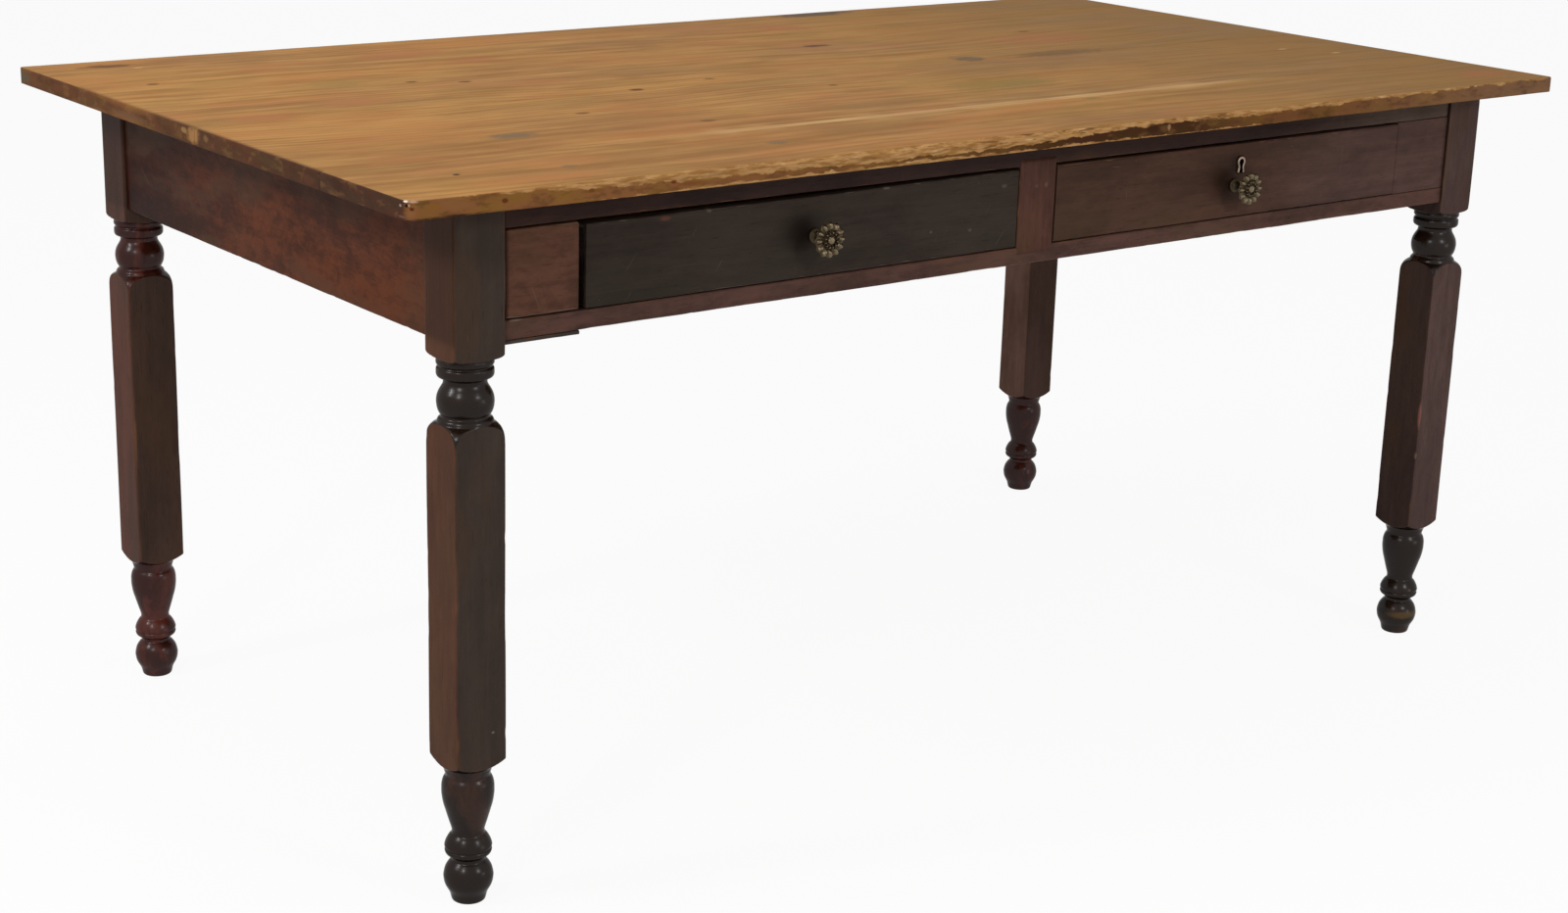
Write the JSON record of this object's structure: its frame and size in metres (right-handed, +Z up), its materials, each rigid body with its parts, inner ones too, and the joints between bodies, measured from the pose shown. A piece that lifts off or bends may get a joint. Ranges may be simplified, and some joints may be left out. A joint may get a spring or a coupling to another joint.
{
  "type": "farm table with drawers",
  "caption": "Long farmhouse table with a pine plank top, turned and square legs, plain aprons, and shallow drawers that slide out of one long side.",
  "frame": {"origin": "on the floor, under the middle of the top", "axes": "+X along the table to the right as seen from the drawer side, +Y from the drawer side to the back, +Z up"},
  "size_m": [1.68, 0.925, 0.762],
  "materials": {
    "pine_top": "worn honey-coloured pine, satin",
    "leg_stain": "dark brown stain, polished",
    "apron_stain": "red-brown stain, satin",
    "rail_stain": "dark brown stain, satin",
    "left_front_stain": "nearly black stain, satin",
    "right_front_stain": "dark brown stain, satin",
    "bare_wood": "bare aged softwood",
    "bronze": "antique bronze, dark in the recesses",
    "brass": "dull old brass",
    "iron": "dark iron"
  },
  "bodies": {
    "frame": {"top_board_back": "pine_top", "top_board_mid_back": "pine_top", "top_board_mid_front": "pine_top", "top_board_front": "pine_top", "leg_front_left": "leg_stain", "leg_front_right": "leg_stain", "leg_back_left": "leg_stain", "leg_back_right": "leg_stain", "apron_left": "apron_stain", "apron_right": "apron_stain", "apron_back": "apron_stain", "rail_top": "rail_stain", "rail_bottom": "rail_stain", "stile": "rail_stain", "filler_left": "apron_stain", "filler_right": "rail_stain", "rail_cleat": "rail_stain", "runner_left": "bare_wood", "runner_centre": "bare_wood", "runner_right": "bare_wood", "guide_left": "bare_wood", "guide_centre": "bare_wood", "guide_right": "bare_wood", "kicker_left": "bare_wood", "kicker_centre": "bare_wood", "kicker_right": "bare_wood", "drawer_stop_left": "bare_wood", "drawer_stop_right": "bare_wood", "glue_block_left": "bare_wood", "glue_block_right": "bare_wood", "glue_block_back_left": "bare_wood", "glue_block_back_right": "bare_wood", "top_screw_back_left": "iron", "top_screw_back_centre": "iron", "top_screw_back_right": "iron", "top_screw_front_left": "iron", "top_screw_front_centre": "iron", "top_screw_front_right": "iron"},
    "drawer_left": {"drawer_left_front": "left_front_stain", "drawer_left_side_left": "bare_wood", "drawer_left_side_right": "bare_wood", "drawer_left_back": "bare_wood", "drawer_left_bottom": "bare_wood", "knob_left_rosette": "bronze", "knob_left_neck": "bronze", "knob_left_bolt": "iron", "knob_left_nut": "iron"},
    "drawer_right": {"drawer_right_front": "right_front_stain", "drawer_right_side_left": "bare_wood", "drawer_right_side_right": "bare_wood", "drawer_right_back": "bare_wood", "drawer_right_bottom": "bare_wood", "knob_right_rosette": "bronze", "knob_right_neck": "bronze", "knob_right_bolt": "iron", "knob_right_nut": "iron", "escutcheon": "brass", "lock_case": "iron"},
    "lock_bolt": {"lock_bolt": "brass"}
  },
  "joints": [
    {"name": "drawer_left_slide", "type": "slide", "parent": "frame", "child": "drawer_left", "axis": [0, -1, 0], "range_m": [0, 0.34]},
    {"name": "drawer_right_slide", "type": "slide", "parent": "frame", "child": "drawer_right", "axis": [0, -1, 0], "range_m": [0, 0.34]},
    {"name": "lock_bolt_slide", "type": "slide", "parent": "drawer_right", "child": "lock_bolt", "axis": [0, 0, 1], "range_m": [0, 0.0075]}
  ]
}
